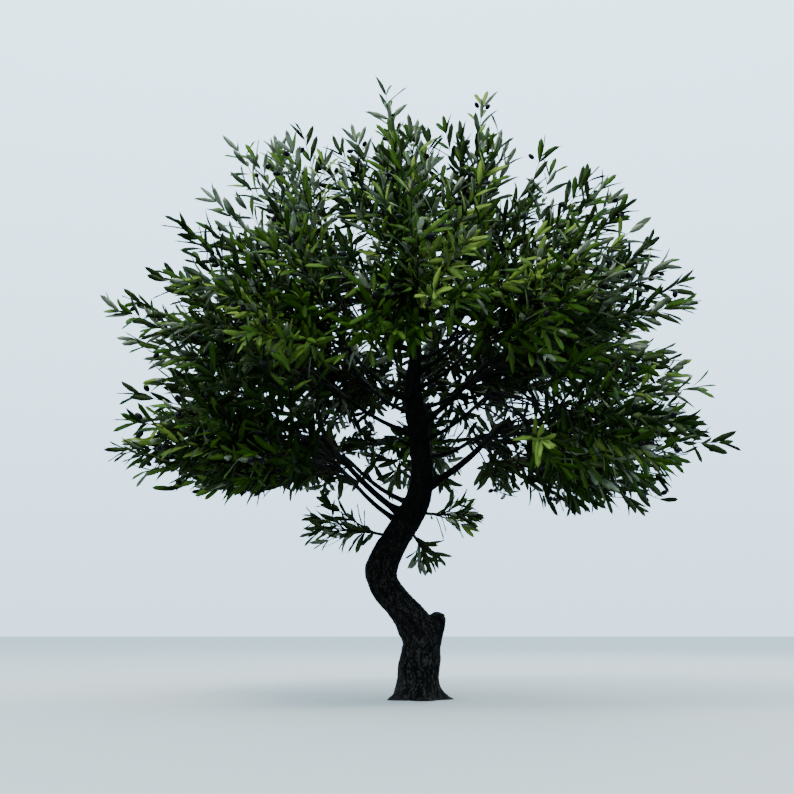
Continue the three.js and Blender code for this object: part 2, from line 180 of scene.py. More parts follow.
# name, height on the trunk, azimuth, tip's distance out and height, root radius, mass's rise and longest twig
boughRows = [
    ("low_left_front", 640, 214, 270, 765, 12, -6, 1190),
    ("low_left", 664, 178, 290, 895, 15, -5, 1215),
    ("low_left_back", 715, 138, 310, 880, 12, -4, 1190),
    ("low_back", 850, 95, 290, 985, 12, -4, 1180),
    ("low_right_back", 905, 46, 290, 985, 12, -4, 1190),
    ("low_right", 775, 0, 260, 950, 17, -4, 1255),
    ("low_right_front", 965, -42, 270, 1045, 10, -8, 1190),
    ("mid_left", 985, 179, 280, 1140, 11, 21, 1370),
    ("mid_left_back", 1075, 128, 265, 1205, 11, 26, 1210),
    ("mid_back", 1150, 86, 255, 1240, 10, 27, 1190),
    ("mid_right_back", 1095, 44, 260, 1205, 11, 26, 1210),
    ("mid_right", 1030, 0, 205, 1195, 14, 28, 1265),
    ("mid_right_front", 1170, -46, 240, 1245, 10, 26, 1190),
    ("mid_front", 1135, 268, 250, 1235, 10, 30, 1150),
    ("mid_left_front", 1115, 222, 260, 1210, 11, 26, 1235),
    ("high_left", 1330, 184, 180, 1400, 10, 57, 1405),
    ("high_left_back", 1385, 118, 165, 1430, 9, 55, 1230),
    ("high_right_back", 1300, 52, 170, 1370, 10, 55, 1220),
    ("high_right", 1235, -14, 165, 1340, 11, 50, 1235),
    ("high_front", 1270, 262, 165, 1370, 10, 56, 1100),
    ("top_right", 1445, -5, 95, 1535, 9, 78, 1430),
]
# name, height on the trunk, ball's centre and radius
sprayRows = [
    ("low_spray_left", 590, (-310, 40, 640), 160),
    ("low_spray_right", 685, (152, -70, 665), 115),
    ("low_spray_hanging", 645, (42, 120, 530), 98),
]
boughTaper = 0.68  # a bough's radius at its tip, as a share of that at its root
boughBow = 0.12  # how far its middle sags, as a share of its length
lineSteps = {"trunk": 14, "bough": 26}  # for each span of the trunk's line, and for a whole bough
topMass = {"azimuth": 180, "rise": 85, "reach": 1475}  # the mass at the trunk's own tip
# stem of a mass: how far back in the wood it starts, places along it and shares of its radius at them
stem = {
    "length": 120,
    "sunk": 12,
    "places": (0, 30, 80),
    "shares": (1, 0.99, 0.93, 0.55),
    "sides": 9,
    "leaderShare": 0.9,
    "sprayRadius": 6,
    "spraySunk": 0.6,
}
# how wide twigs fan out, and how low they may point, in degrees
cone = {"mass": 27, "spray": 62, "lowest": -20}
# the crown's reach from its heart, how far short of it twigs stay, and the plane of the crown's lower edge
dome = {"left": 1230, "right": 1180, "deep": 1090, "up": 1300, "downLeft": 450, "downRight": 820}
short = {"fall": 0.12, "play": 0.14}
hem = {"height": 722, "toBack": 0.15, "toRight": -0.04}
spaceMargin = 3  # how far a mass keeps from the borders of its space

trunkPath = smoothLine([row[:3] for row in trunkLine], lineSteps["trunk"])
trunkRadii = np.interp(trunkPath[:, 2], [row[2] for row in trunkLine], [row[3] for row in trunkLine])


def trunkAt(height):
    return sampled(trunkPath, trunkPath[:, 2], height)


def trunkRadiusAt(height):
    return np.interp(height, trunkPath[:, 2], trunkRadii)


masses = []
for name, root, azimuth, out, height, radius, rise, reach in boughRows:
    start = trunkAt(root)
    tip = direction(azimuth, 0) * out + up * height
    middle = (start + tip) / 2 - up * boughBow * np.linalg.norm(tip - start)
    masses.append({
        "name": name,
        "path": bezier([start, middle, tip], lineSteps["bough"]),
        "radius": radius,
        "axis": direction(azimuth, rise),
        "reach": reach,
        "stemAlong": unit(tip - middle),
        "stemFrom": tip,
        "stemRadius": radius * boughTaper,
    })
boughs = list(masses)
masses.append({
    "name": "top",
    "axis": direction(topMass["azimuth"], topMass["rise"]),
    "reach": topMass["reach"],
    "stemAlong": unit(trunkPath[-1] - trunkPath[-2]),
    "stemFrom": trunkPath[-1],
    "stemRadius": trunkRadii[-1] * stem["leaderShare"],
})
sprays = []
for name, root, ball, radius in sprayRows:
    start = trunkAt(root)
    along = unit(np.array(ball) - start)
    sunk = trunkRadiusAt(root) * stem["spraySunk"]
    sprays.append({
        "name": name,
        "ball": np.array(ball, float),
        "reach": radius,
        "axis": along,
        "stemAlong": along,
        "stemFrom": start + along * sunk,
        "stemRadius": stem["sprayRadius"],
    })
# long twigs that stand out of the crown's outline: azimuth, rise and reach from the heart
leaders = [
    (184, 69, 1335), (176, 63, 1340), (170, 78, 1300), (188, 74, 1215),
    (182, 48, 1290), (184, 37, 1145), (-4, 37, 1215), (-12, 35, 1120),
    (10, 87, 1250), (-20, -27, 800), (5, -1, 1165),
]
# places between twigs left open to the sky: azimuth, rise, half-width in degrees, and how far out they start
clearings = [
    (0, -21, 5, 830), (0, -10, 4, 930), (-20, -13, 5, 900), (18, -6, 4, 1040),
    (-24, 23, 5, 880), (0, 24, 5, 890), (0, 45, 5, 1090), (0, 68, 5, 1040),
    (-43, 59, 6, 930), (208, 47, 6, 960), (180, 51, 6, 1010), (180, 16, 4, 960),
    (180, 3, 6, 930), (200, -5, 5, 930), (180, -13, 4, 970), (97, -5, 7, 250),
    (113, -6, 6, 300), (68, -5, 6, 250),
]
# masses that the sky shows through, low on the right and behind the trunk
openMasses = ("low_back", "low_right_back", "low_right", "low_right_front", "mid_back")
levels = {"low": "low", "mid": "mid", "high": "high", "top": "high"}  # by the first word of a mass's name
firstPhase = 0.5
for seed, mass in enumerate(masses + sprays):
    mass["seed"] = seed
    mass["phase"] = (firstPhase + seed * evenStep) % 1
    level = levels[mass["name"].split("_")[0]]
    mass["habit"] = "open" if mass["name"] in openMasses else level
    mass["leaves"] = "leaves_%s_%s" % (level, "left" if mass["axis"][0] < 0 else "right")

for azimuth, rise, reach in leaders:
    pointing = direction(azimuth, rise)
    owner = max(masses, key=lambda mass: mass["axis"] @ pointing)
    owner.setdefault("leaders", []).append((heart + pointing * reach, pointing))

# the borders between masses: half-spaces through the heart
for mass in masses:
    others = [unit(mass["axis"] - other["axis"]) for other in masses if other is not mass]
    mass["borders"] = np.array(others)


def hemAt(point):
    return hem["height"] + hem["toBack"] * point[1] + hem["toRight"] * point[0]


def overHem(point):
    return np.array([point[0], point[1], max(point[2], hemAt(point))])


def domeReach(pointing):
    rightward = (1 + pointing[0]) / 2
    across = mix(dome["left"], dome["right"], rightward)
    down = mix(dome["downLeft"], dome["downRight"], rightward)
    height = dome["up"] if pointing[2] > 0 else down
    return 1 / math.hypot(pointing[0] / across, pointing[1] / dome["deep"], pointing[2] / height)


def inOwnSpace(point, mass):
    if "ball" in mass:
        return np.linalg.norm(point - mass["ball"]) < mass["reach"]
    if point[2] < hemAt(point) - spaceMargin:
        return False
    if (mass["borders"] @ (point - heart)).min() < spaceMargin:
        return False
    return all(np.linalg.norm(point - s["ball"]) > s["reach"] + spaceMargin for s in sprays)


clearingAxes = np.array([direction(azimuth, rise) for azimuth, rise, _, _ in clearings])
clearingEdges = np.cos(np.radians([width for _, _, width, _ in clearings]))
clearingStarts = np.array([start for _, _, _, start in clearings])


def clearingLimits(points):
    # how far from the heart each point's direction may be filled
    inside = unit(points - heart) @ clearingAxes.T > clearingEdges
    return np.where(inside, clearingStarts, np.inf).min(-1)


print("plan: %d masses and %d low sprays" % (len(masses), len(sprays)))


def newMaterial(name, roughness, specular):
    material = bpy.data.materials.new(name)
    material.use_nodes = True
    shader = material.node_tree.nodes["Principled BSDF"]
    shader.inputs["Roughness"].default_value = roughness
    shader.inputs["Specular IOR Level"].default_value = specular
    return material, material.node_tree, shader


def addNode(tree, kind, inputs, **settings):
    # a node whose inputs are set, or joined to another node's output
    node = tree.nodes.new("ShaderNode" + kind)
    for setting, value in settings.items():
        setattr(node, setting, value)
    for socket, given in inputs.items():
        if isinstance(given, bpy.types.NodeSocket):
            tree.links.new(given, node.inputs[socket])
        else:
            node.inputs[socket].default_value = given
    return node


def patternNode(tree, scale, stretch=(1, 1, 1), detail=3.0):
    place = addNode(tree, "TexCoord", {}).outputs["Object"]
    mapping = addNode(tree, "Mapping", {"Vector": place, "Scale": stretch}).outputs["Vector"]
    pattern = addNode(tree, "TexNoise", {"Vector": mapping, "Scale": scale, "Detail": detail})
    return pattern.outputs["Fac"]


def rampNode(tree, source, stops):
    ramp = addNode(tree, "ValToRGB", {"Fac": source})
    elements = ramp.color_ramp.elements
    while len(elements) < len(stops):
        elements.new(0.5)
    for element, (place, colour) in zip(elements, stops):
        element.position = place
        element.color = (*colour, 1)
    return ramp.outputs["Color"]


def bumpNode(tree, shader, height, strength, distance, after=None):
    bump = addNode(tree, "Bump", {"Height": height, "Strength": strength, "Distance": distance})
    if after:
        tree.links.new(after.outputs["Normal"], bump.inputs["Normal"])
    tree.links.new(bump.outputs["Normal"], shader.inputs["Normal"])
    return bump


def patchyMaterial(name, roughness, specular, scale, detail, stops):
    # a colour that drifts to another in soft patches
    material, tree, shader = newMaterial(name, roughness, specular)
    tone = rampNode(tree, patternNode(tree, scale, detail=detail), stops)
    tree.links.new(tone, shader.inputs["Base Color"])
    return material, tree, shader


leafLook = {"specular": 0.02, "scale": 9.0, "detail": 2.0}
leafStops = (0.38, 0.7)  # dark up to the first, light from the second


def leafMaterial(name, dark, light, roughness):
    # waxy leaf: one green that drifts a little from leaf to leaf
    return patchyMaterial(name, roughness, **leafLook, stops=list(zip(leafStops, (dark, light))))[0]


bark = {
    "trunkSides": 44,
    "boughSides": 14,
    "ringSpacing": 14,
    "fewestRings": 6,
    "voxel": 3.8,
    "smoothing": 4,
    # collar where a bough leaves the trunk: how much thicker, how far out and how long to each side
    "collar": 0.55,
    "collarAt": 45,
    "collarSpread": 40,
    "footSides": 72,
    # foot profile: height and radius, with toes that swell out from it
    "foot": [(-14, 128), (0, 118), (10, 103), (22, 92), (42, 83), (80, 76), (130, 62)],
    "toes": 5,
    "toeDepth": 0.14,
    "toeTurn": 0.5,
    "toeHeight": 42,
    # rounded stub of a sawn limb: across, height and radius
    "stub": [(38, 190, 50), (51, 226, 44), (64, 252, 38), (73, 272, 34), (76, 288, 32), (75, 300, 29),
             (74, 308, 22), (74, 313, 12), (74, 315, 4)],
    "stubBack": 3,
    "stubSides": 28,
    # heights in metres, and how light the bark is at each: painted shade, darker up in the crown
    "shadeByHeight": {"From Min": 0.05, "From Max": 0.7, "To Min": 1.2, "To Max": 0.15},
}
# relief: how far a pattern stands out, its size across and along the limb, its shift, and how sharp it is
relief = {
    "ridge": {"lift": 1.8, "across": 13, "along": 95, "shift": 0, "sharp": 3.2},
    "plate": {"lift": 1.1, "across": 8, "along": 34, "shift": 40, "sharp": 3.0},
    "lump": {"lift": 5.0, "across": 42, "along": 90, "shift": 9},
    "grain": {"lift": 0.9, "size": 4.5},
    "wander": {"lift": 16, "size": 60},  # bends the ridges off straight
    "sunk": 1.2,
    "fullRadius": 52,  # thinner limbs have less of it
    "lineStep": 4,
    "limbShift": 500,  # so that no two limbs have the same ridges
    # painted shade in the bark's furrows: the attribute is lower where the ridges and plates sink
    "shade": {"base": 0.5, "ridge": 0.12, "plate": 0.1},  # the barkFurrowShade attribute
    # a ring of healed bark round a small dent: the dent's share of the knot's height, and how much narrower
    "dent": 0.7,
    "dentNarrow": 2.2,
}
# healed knots on the trunk: height, angle round it, width and how far they stand out
knots = [
    (120, 200, 30, 6), (236, 150, 26, 7), (330, 250, 24, 6), (470, 175, 34, 8),
    (560, 300, 22, 6), (655, 60, 24, 7), (742, 215, 20, 5), (880, 20, 18, 5),
    (1045, 350, 24, 7), (1060, 170, 22, 6), (1205, 80, 16, 4), (1310, 240, 14, 4),
]


def frameMatrix(point, side, over, along, radius):
    m = Matrix((side, over, along)).transposed().to_4x4()
    m.translation = Vector(point) * metre
    return m @ Matrix.Scale(radius * metre, 4)


def limbTube(bm, line, radii, sides):
    # rings extruded one from the next along the limb's line
    along, side, over = framesAlong(line)
    places = [frameMatrix(*row) for row in zip(line, side, over, along, radii)]
    made = bmesh.ops.create_circle(bm, cap_ends=True, radius=1, segments=sides, matrix=places[0])
    edges = list({e for v in made["verts"] for e in v.link_edges})
    for before, place in zip(places, places[1:]):
        grown = bmesh.ops.extrude_edge_only(bm, edges=edges)["geom"]
        edges = [g for g in grown if isinstance(g, bmesh.types.BMEdge) and g.is_boundary]
        ring = [g for g in grown if isinstance(g, bmesh.types.BMVert)]
        bmesh.ops.transform(bm, matrix=place @ before.inverted(), verts=ring)
    bmesh.ops.edgeloop_fill(bm, edges=edges)


def limbRings(path, radii, spacing):
    lengths = lengthsAlong(path)
    even = np.linspace(0, lengths[-1], max(bark["fewestRings"], int(lengths[-1] / spacing)))
    return sampled(path, lengths, even), np.interp(even, lengths, radii)


def makeFoot(bm):
    # the foot's profile spun round, its lowest part then swelled into toes
    centre = Vector((trunkLine[0][0], 0, 0)) * metre
    profile = [centre + Vector((radius, 0, height)) * metre for height, radius in bark["foot"]]
    verts = [bm.verts.new(point) for point in profile]
    verts.insert(0, bm.verts.new((centre.x, 0, bark["foot"][0][0] * metre)))
    verts.append(bm.verts.new((centre.x, 0, bark["foot"][-1][0] * metre)))
    edges = [bm.edges.new(pair) for pair in zip(verts, verts[1:])]
    before = set(bm.verts)
    bmesh.ops.spin(bm, geom=verts + edges, cent=centre, axis=(0, 0, 1), angle=math.tau,
                   steps=bark["footSides"], use_merge=True)
    foot = [v for v in bm.verts if v in verts or v not in before]
    bmesh.ops.remove_doubles(bm, verts=foot, dist=1e-5)
    for v in [v for v in foot if v.is_valid]:
        away = v.co - centre
        spread = max(0.0, 1 - away.z / metre / bark["toeHeight"])
        wave = math.cos(bark["toes"] * math.atan2(away.y, away.x) + bark["toeTurn"])
        swell = 1 + bark["toeDepth"] * spread * wave
        v.co = centre + Vector((away.x * swell, away.y * swell, away.z))


def nearestOn(points, samples):
    # index of the nearest sample for every point, a few thousand at a time
    found = np.empty(len(points), int)
    atOnce = 4000
    for i in range(0, len(points), atOnce):
        away = points[i:i + atOnce, None, :] - samples[None]
        found[i:i + atOnce] = np.einsum("ijk,ijk->ij", away, away).argmin(1)
    return found


def joinLimbs(bm):
    # foot, stub, trunk and boughs as closed tubes that run into one another
    makeFoot(bm)
    stub = np.array([(across, bark["stubBack"], height) for across, height, _ in bark["stub"]], float)
    limbTube(bm, stub, [radius for _, _, radius in bark["stub"]], bark["stubSides"])
    line, radii = limbRings(trunkPath, trunkRadii, bark["ringSpacing"])
    limbTube(bm, line, radii, bark["trunkSides"])
    limbs = [(line, radii)]
    for bough in boughs:
        share = np.linspace(0, 1, len(bough["path"]))
        radii = bough["radius"] * mix(1, boughTaper, share)
        line, radii = limbRings(bough["path"], radii, bark["ringSpacing"])
        limbs.append((line, radii))
        start = np.linalg.norm(line - line[0], axis=1)
        nearness = np.clip(1 - np.abs(start - bark["collarAt"]) / bark["collarSpread"], 0, 1)
        limbTube(bm, line, radii * (1 + bark["collar"] * nearness), bark["boughSides"])
    bmesh.ops.recalc_face_normals(bm, faces=bm.faces)
    return limbs


def makeBark():
    bm = bmesh.new()
    limbs = joinLimbs(bm)
    mesh = bpy.data.meshes.new("bark")
    bm.to_mesh(mesh)
    bm.free()
    obj = addObject("bark", mesh)

    # everything fused into one skin, then smoothed over the seams
    remesh = obj.modifiers.new("fuse", "REMESH")
    remesh.mode = "VOXEL"
    remesh.voxel_size = bark["voxel"] * metre
    fused = bpy.data.meshes.new_from_object(obj.evaluated_get(bpy.context.evaluated_depsgraph_get()))
    obj.modifiers.clear()
    bm = bmesh.new()
    bm.from_mesh(fused)
    for _ in range(bark["smoothing"]):
        bmesh.ops.smooth_vert(bm, verts=bm.verts, factor=0.5,
                              use_axis_x=True, use_axis_y=True, use_axis_z=True)
    raiseRelief(bm, limbs)

    # the flat cut at the ground
    cut = bmesh.ops.bisect_plane(bm, geom=bm.verts[:] + bm.edges[:] + bm.faces[:], plane_co=(0, 0, 0),
                                 plane_no=(0, 0, -1), clear_outer=True)["geom_cut"]
    bmesh.ops.edgeloop_fill(bm, edges=[g for g in cut if isinstance(g, bmesh.types.BMEdge)])
    for face in bm.faces:
        face.smooth = True
    bm.to_mesh(mesh)
    bm.free()
    return obj


def stretchedNoise(p, pattern):
    across, along = pattern["across"], pattern["along"]
    return noise.noise(Vector((p.x / across, p.y / across, p.z / along + pattern["shift"])))


def furrows(p, pattern):
    return 1 - abs(stretchedNoise(p, pattern)) * pattern["sharp"]


def raiseRelief(bm, limbs):
    # every point is read as an angle round its limb and a way along it, so that the ridges follow the limb
    bm.normal_update()
    places = np.array([v.co for v in bm.verts]) / metre
    lines, radii, starts, frames = [], [], [], []
    for index, (line, radius) in enumerate(limbs):
        line, radius = limbRings(line, radius, relief["lineStep"])
        along, side, over = framesAlong(line)
        lines.append(line)
        radii.append(radius)
        starts.append(lengthsAlong(line) + index * relief["limbShift"])
        frames.append(np.stack([side, over, along], 1))
    lines, radii, starts, frames = (np.concatenate(rows) for rows in (lines, radii, starts, frames))
    nearest = nearestOn(places, lines)
    away = places - lines[nearest]
    local = np.einsum("ijk,ik->ij", frames[nearest], away)
    angle = np.arctan2(local[:, 1], local[:, 0])
    distance = starts[nearest] + local[:, 2]
    radius = radii[nearest]
    knotLift = np.zeros(len(places))
    for height, turn, width, lift in knots:
        centre = trunkAt(height) + direction(turn, 0) * trunkRadiusAt(height)
        gap = np.linalg.norm(places - centre, axis=1) / width
        dent = relief["dent"] * np.exp(-((gap * relief["dentNarrow"]) ** 2))
        knotLift += lift * (np.exp(-(gap**2)) - dent)
    depth = bm.verts.layers.float.new("barkFurrowShade")
    shade = relief["shade"]
    for i, v in enumerate(bm.verts):
        p = Vector((math.cos(angle[i]) * radius[i], math.sin(angle[i]) * radius[i], distance[i]))
        wander = noise.noise(p / relief["wander"]["size"]) * relief["wander"]["lift"]
        p += Vector((wander, -wander, 0))
        ridges, plates = furrows(p, relief["ridge"]), furrows(p, relief["plate"])
        lift = relief["ridge"]["lift"] * ridges + relief["plate"]["lift"] * plates
        lift += relief["lump"]["lift"] * stretchedNoise(p, relief["lump"])
        lift += relief["grain"]["lift"] * noise.noise(p / relief["grain"]["size"])
        # painted shade: the attribute is darker where the relief sinks into furrows
        v[depth] = shade["base"] + shade["ridge"] * ridges + shade["plate"] * plates
        size = min(1.0, radius[i] / relief["fullRadius"])
        v.co += v.normal * (size * (lift - relief["sunk"]) + knotLift[i]) * metre


def barkMaterial():
    # painted shade in the furrows by the attribute, broken up by patches of tone
    material, tree, shader = newMaterial("charcoalBark", roughness=0.8, specular=0.03)
    depth = addNode(tree, "Attribute", {}, attribute_name="barkFurrowShade").outputs["Fac"]
    patches = patternNode(tree, scale=150.0, stretch=(1, 1, 0.7), detail=8.0)
    blend = addNode(tree, "Math", {0: depth, 1: patches}, operation="MULTIPLY")
    tone = rampNode(tree, blend.outputs["Value"], [
        (0.19, (0.0006, 0.0005, 0.0004)),
        (0.29, (0.0030, 0.0026, 0.0021)),
        (0.40, (0.0190, 0.0163, 0.0134)),
    ])
    # painted shade: lighter near the ground and darker up in the crown, where the trunk lies in shade
    place = addNode(tree, "TexCoord", {}).outputs["Object"]
    height = addNode(tree, "SeparateXYZ", {"Vector": place}).outputs["Z"]
    shadeByHeight = addNode(tree, "MapRange", {"Value": height, **bark["shadeByHeight"]}).outputs["Result"]
    shade = addNode(tree, "VectorMath", {0: tone, "Scale": shadeByHeight}, operation="SCALE")
    tree.links.new(shade.outputs["Vector"], shader.inputs["Base Color"])
    coarse = patternNode(tree, scale=140.0, stretch=(1, 1, 0.5), detail=8.0)
    fine = patternNode(tree, scale=420.0, stretch=(1, 1, 0.4), detail=4.0)
    first = bumpNode(tree, shader, coarse, strength=0.8, distance=0.004)
    bumpNode(tree, shader, fine, strength=0.5, distance=0.0012, after=first)
    return material


barkPiece = makeBark()
boughNames = ["bough_" + bough["name"] for bough in boughs]
finishPiece(barkPiece, "bark", ["trunk", *boughNames], barkMaterial())
print("bark: %d faces" % len(barkPiece.data.polygons))


twig = {
    "perMass": {"low": 10, "mid": 8, "high": 7, "open": 8},
    "sprayShare": 25,  # a low spray has a twig for each of these lengths in its radius
    "tries": 40,
    "rootRadius": 4.6, "tipRadius": 1.3, "taperPower": 0.8, "sides": 5, "rings": 10, "steps": 40,
    # curve, as in the part
    "from": 0.25, "to": 0.95, "leave": 0.25, "turn": 0.6, "arrive": 0.3, "lift": 0.16, "sprayFill": 0.93,
    # twigs added towards the neighbouring masses, at the sides and the back: which way and how far out
    "borders": [(-0.34, -0.12), (0.34, 0.1), (-0.3, 0.14), (0.3, -0.14), (0.03, -0.25)],
    "borderCount": {"low": 5, "mid": 4, "high": 2, "open": 5},
    "borderReach": 0.95,
    "bordersFrom": -0.1,
    "borderShoots": 2,
    "drawnBack": 0.97,  # a twig that points into a clearing ends at this share of the way to it
    # the wood ends this share of a leaf short of the twig's end, where its last leaves reach to
    "leafPast": 0.72,
    "leafPastMost": 0.5,  # but no more than this share of the twig
}
shoot = {
    "perTwig": {"low": 4, "mid": 3, "high": 2, "open": 2},
    "from": {"low": 0.3, "mid": 0.2, "high": 0.2, "open": 0.42},
    "to": 0.68,
    "angle": 38,
    "placePlay": (0.1, 0.9),
    "length": (150, 300),
    "lengthShare": 0.8,  # of the twig beyond it
    "lengthPlay": (0.85, 1.1),
    "onSpray": 0.6,  # how much shorter it is on a low spray
    "rootRadius": 2.1, "tipRadius": 0.9, "sides": 3, "rings": 5, "steps": 16,
    # curve: how long it goes straight, its directions after that, and how much it then rises
    "straight": 0.45, "bent": 0.55, "ownWay": 0.55, "twigWay": 0.45, "lift": 0.1,
    # room left inside the crown's reach and over its hem
    "underDome": 40,
    "overHem": 30,
    "toneStep": 0.37,
}


def twigEnd(mass, index, draw):
    # directions spread evenly over a cone, and a mass's twigs are shorter the further out in it they point
    isSpray = "ball" in mass
    outward = math.sqrt(index * evenSteps[0] % 1)
    polar = math.radians(cone["spray" if isSpray else "mass"]) * outward
    around = math.tau * ((mass["phase"] + index * evenSteps[1]) % 1)
    pointing = turnTo(mass["axis"], outFrom(mass["axis"], around), polar)
    if isSpray:
        return mass["ball"] + pointing * mass["reach"] * twig["sprayFill"], pointing
    pointing[2] = max(pointing[2], math.sin(math.radians(cone["lowest"])))
    pointing = unit(pointing)
    reach = mass["reach"]
    if index > 0:
        longest = mix(reach, domeReach(pointing), outward)
        reach = longest * (1 - short["fall"] * outward**2 - short["play"] * draw())
    return overHem(heart + pointing * reach), pointing


def borderEnd(mass, aside, rise):
    side, over = squareTo(mass["axis"])
    pointing = unit(mass["axis"] + side * aside + over * rise)
    return overHem(heart + pointing * domeReach(pointing) * twig["borderReach"]), pointing


def twigLine(mass, index, end, pointing):
    place = mix(twig["from"], twig["to"], index * evenStep % 1)
    start = mass["stemFrom"] + mass["stemAlong"] * stem["length"] * place
    if not inOwnSpace(end, mass):
        return None
    length = np.linalg.norm(end - start)
    straight = (end - start) / length
    leaving = unit(mix(mass["stemAlong"], straight, twig["turn"]))
    lift = -twig["lift"] if "ball" in mass else twig["lift"]
    arriving = unit((straight + pointing) / 2 + up * lift)
    first = start + leaving * twig["leave"] * length
    second = end - arriving * twig["arrive"] * length
    return bezier([start, first, second, end], twig["steps"])


def evenly(line, count, share=1.0):
    # the line's first share, cut into equal steps
    lengths = lengthsAlong(line)
    return sampled(line, lengths, np.linspace(0, lengths[-1] * share, count))


def alongLine(line, distances):
    # points and directions at distances along a line
    lengths = lengthsAlong(line)
    ways = sampled(unit(np.gradient(line, axis=0)), lengths, distances)
    return sampled(line, lengths, distances), unit(ways)


def shootLine(line, place, turn, length):
    # a side shoot leaves at an angle and swings round towards its twig's own direction
    total = stepLengths(line).sum()
    at, way = (rows[0] for rows in alongLine(line, np.array([place * total])))
    leaving = turnTo(way, outFrom(way, turn), math.radians(shoot["angle"]))
    later = unit(leaving * shoot["ownWay"] + way * shoot["twigWay"] + up * shoot["lift"])
    middle = at + leaving * length * shoot["straight"]
    end = at + (leaving * shoot["straight"] + later * shoot["bent"]) * length
    return bezier([at, middle, end], shoot["steps"])


leaf = {
    "length": 112,
    "width": 25.5,
    "widthLimits": (0.75, 1.15),  # shares of the width for short leaves and long ones
    "sizes": {"mass": (1.0, 0.94), "spray": (0.84, 0.8)},  # on twigs and on shoots
    "shrink": 0.1,  # how much smaller they are at the end of a row
    "sizePlay": (0.86, 1.14),
    "fold": 0.14,  # how far the blade folds up from its midrib, as a share of the width
    "thickness": 0.9,
    "arch": 0.09,
    "archPlay": (0.4, 1.6),
    # outline: share of the length and of the width
    "outline": [(0.18, 0.6), (0.5, 1.0), (0.84, 0.74)],
    "spacing": 36,
    "bareTwig": {"low": 0.36, "mid": 0.2, "high": 0.2, "open": 0.44},  # leafless inner share
    "bareSpray": 0.1,
    "bareShoot": 0.16,
    "angleRoot": 52,
    "angleTip": 33,
    "anglePlay": 9,
    "turnPlay": 0.25,
    "roll": 50,
    "twist": 55,  # turn of the blade from its root to its tip
    "sag": 0.12,
    "skip": 0.18,
    # how far over the crown's hem a leaf's tip stays: across, height, and how far one may hang below that
    "hem": [(-700, 35), (0, 40), (350, 60), (560, -30)],
    "hemPlay": 70,
    "end": [(5, 0), (28, 1.3), (32, 4.4)],  # the last leaves: angle and turn
    "endSize": 0.85,
    "overBox": 8,  # how far a tip may stand out of the solids' box
    # a leaf is left out where it comes nearer than the gap to a limb at one of these shares of its length
    "probes": (0.35, 0.7, 1.0),
    "limbGap": 5,
}
olive = {
    "length": 31,
    "width": 21,
    "sizePlay": (0.9, 1.08),
    # fuller towards the stalk than at the end
    "fullness": 1.05,
    "taper": 0.18,
    "stalk": 30,
    "stalkRadius": 0.9,
    "stalkFlare": 1.3,
    "stalkSunk": 1.5,
    # how many are pairs, and how far apart round the wood two of them hang
    "pairs": 0.45,
    "pairTurn": (1.2, 2.6),
    "ahead": 0.7,
    "droop": 0.15,
    "play": 0.15,
    # share of the shoots that bear them, and where along the shoots and twigs
    "onShoots": 0.1,
    "shootPlace": (0.4, 0.9),
    "twigPlace": (0.8, 1.0),
}
tones = 4  # greens of the upper side, darkest first; two materials for the underside come after them
# darker greens have the underside of painted shade, and the greens from this one on the silver underside,
# partly painted sheen
brightFrom = 2  # greens from this one on have the silver underside
# shares of the greens at each level, painted light and shade: more of the darker greens low down and more of
# the lighter ones high up, where light falls from above
toneShares = {
    "low": [0.3, 0.4, 0.19, 0.11],
    "mid": [0.1, 0.34, 0.4, 0.16],
    "high": [0.06, 0.38, 0.4, 0.16],
    "open": [0.26, 0.44, 0.2, 0.1],
}
# inner share of a twig whose leaves are all of the darkest green, painted shade deep in the crown
shaded = {"low": 0.5, "mid": 0.3, "high": 0.1, "open": 0.34}
shadedPlay = (0.7, 1.3)

rng = np.random.default_rng(7)
bigTwigs, sideShoots, stems = [], [], []
leafRows = {}  # for each piece: point, along, back, length, tone, arch
oliveRows = []


def toneAt(habit, place):
    # shares out the greens evenly as places are taken in even steps
    return min(tones - 1, int(np.searchsorted(np.cumsum(toneShares[habit]), place % 1)))


def inOutline(tip):
    # over the crown's ragged hem, and out of the clearings
    lowest = hemAt(tip) + np.interp(tip[0], *zip(*leaf["hem"])) - rng.uniform(0, leaf["hemPlay"])
    return tip[2] > lowest and np.linalg.norm(tip - heart) < clearingLimits(tip)


def growLeaf(rows, point, way, turn, angle, size, tone, free):
    pointing = turnTo(way, outFrom(way, turn), math.radians(angle))
    pointing = unit(pointing - up * leaf["sag"])
    back = unit(way - pointing * way.dot(pointing))
    roll = math.radians(rng.uniform(-leaf["roll"], leaf["roll"]))
    back = turnTo(back, np.cross(pointing, back), roll)
    arch = leaf["arch"] * rng.uniform(*leaf["archPlay"])
    if free or inOutline(point + pointing * leaf["length"] * size):
        rows.append((point, pointing, back, leaf["length"] * size, tone, arch))


def leafSpray(rows, line, bare, tone, size, shade=0.0, free=False):
    # pairs of leaves, each a quarter turn on from the last, and a few at the end
    total = stepLengths(line).sum()
    distances = np.arange(total * bare, total - leaf["spacing"] / 2, leaf["spacing"])
    if len(distances) == 0:
        return
    at, ways = alongLine(line, distances)
    turn = rng.uniform(0, math.tau)
    for i, (point, way) in enumerate(zip(at, ways)):
        share = i / max(1, len(at) - 1)
        turn += math.pi / 2 + rng.normal(0, leaf["turnPlay"])
        for half in (0, math.pi):
            if rng.random() < leaf["skip"]:
                continue
            angle = mix(leaf["angleRoot"], leaf["angleTip"], share) + rng.normal(0, leaf["anglePlay"])
            grown = size * (1 - leaf["shrink"] * share) * rng.uniform(*leaf["sizePlay"])
            # leaves on the inner share take the darkest green, painted shade
            growLeaf(rows, point, way, turn + half, angle, grown, 0 if share < shade else tone, free)
    for angle, turnBy in leaf["end"]:
        growLeaf(rows, line[-1], ways[-1], turn + turnBy, angle, size * leaf["endSize"], tone, free)


